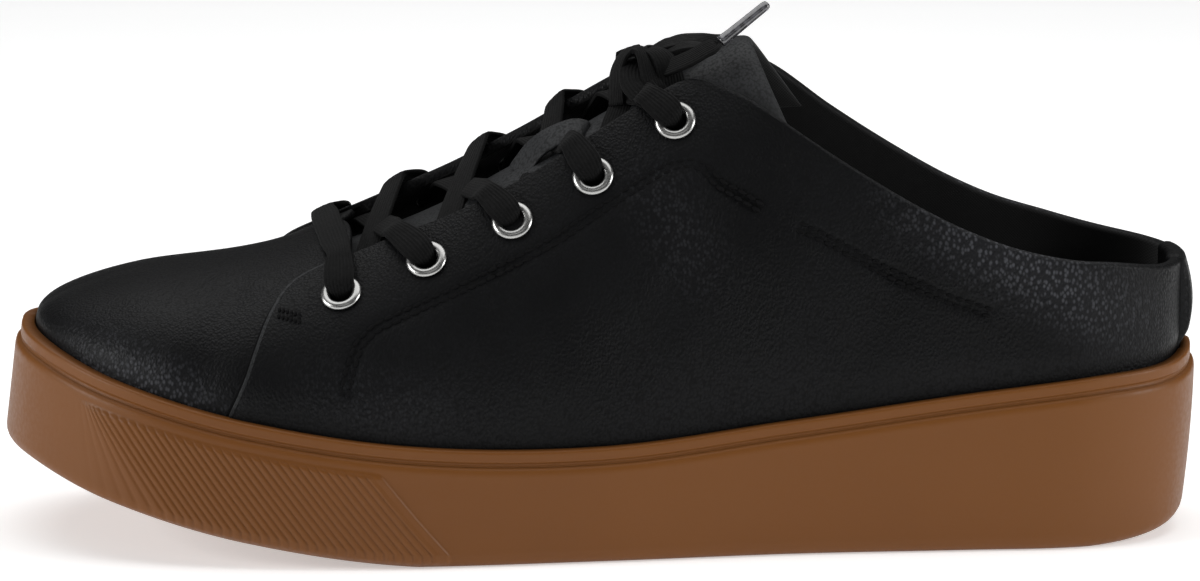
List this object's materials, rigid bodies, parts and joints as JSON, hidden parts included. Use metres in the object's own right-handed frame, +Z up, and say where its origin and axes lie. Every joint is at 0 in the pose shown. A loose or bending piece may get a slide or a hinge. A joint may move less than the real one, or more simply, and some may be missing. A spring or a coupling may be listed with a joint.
{
  "type": "lace-up sneaker mule",
  "caption": "Left sneaker mule: black leather open-backed upper with eyelets and flat laces on a thick gum cup sole.",
  "frame": {"origin": "on the floor under the sole, below the middle of its length, on the flat that it stands on", "axes": "+Z up, the toe towards -X and the heel towards +X, the lateral (outer) side of the foot towards -Y"},
  "size_m": [0.2735, 0.1003, 0.124],
  "materials": {
    "gum_rubber": "moulded gum rubber, satin",
    "insole_cloth": "black woven sock lining",
    "black_leather": "smooth full-grain, semi-gloss",
    "grey_leather": "soft matt leather",
    "eyelet_metal": "polished nickel",
    "lace_cotton": "flat woven lace, matt",
    "aglet_plastic": "clear film over the lace"
  },
  "bodies": {
    "root": {"cupsole": "gum_rubber", "insole": "insole_cloth", "upper": "black_leather", "tongue": "grey_leather", "lace_keeper": "grey_leather", "eyelet_lateral_1": "eyelet_metal", "eyelet_lateral_2": "eyelet_metal", "eyelet_lateral_3": "eyelet_metal", "eyelet_lateral_4": "eyelet_metal", "eyelet_lateral_5": "eyelet_metal", "eyelet_medial_1": "eyelet_metal", "eyelet_medial_2": "eyelet_metal", "eyelet_medial_3": "eyelet_metal", "eyelet_medial_4": "eyelet_metal", "eyelet_medial_5": "eyelet_metal", "lace_bar": "lace_cotton", "lace_cross_1": "lace_cotton", "lace_cross_2": "lace_cotton", "lace_cross_3": "lace_cotton", "lace_cross_4": "lace_cotton", "lace_knot": "lace_cotton", "lace_loop": "lace_cotton", "lace_end_lateral": "lace_cotton", "lace_end_medial": "lace_cotton", "aglet_lateral": "aglet_plastic", "aglet_medial": "aglet_plastic"}
  },
  "joints": []
}
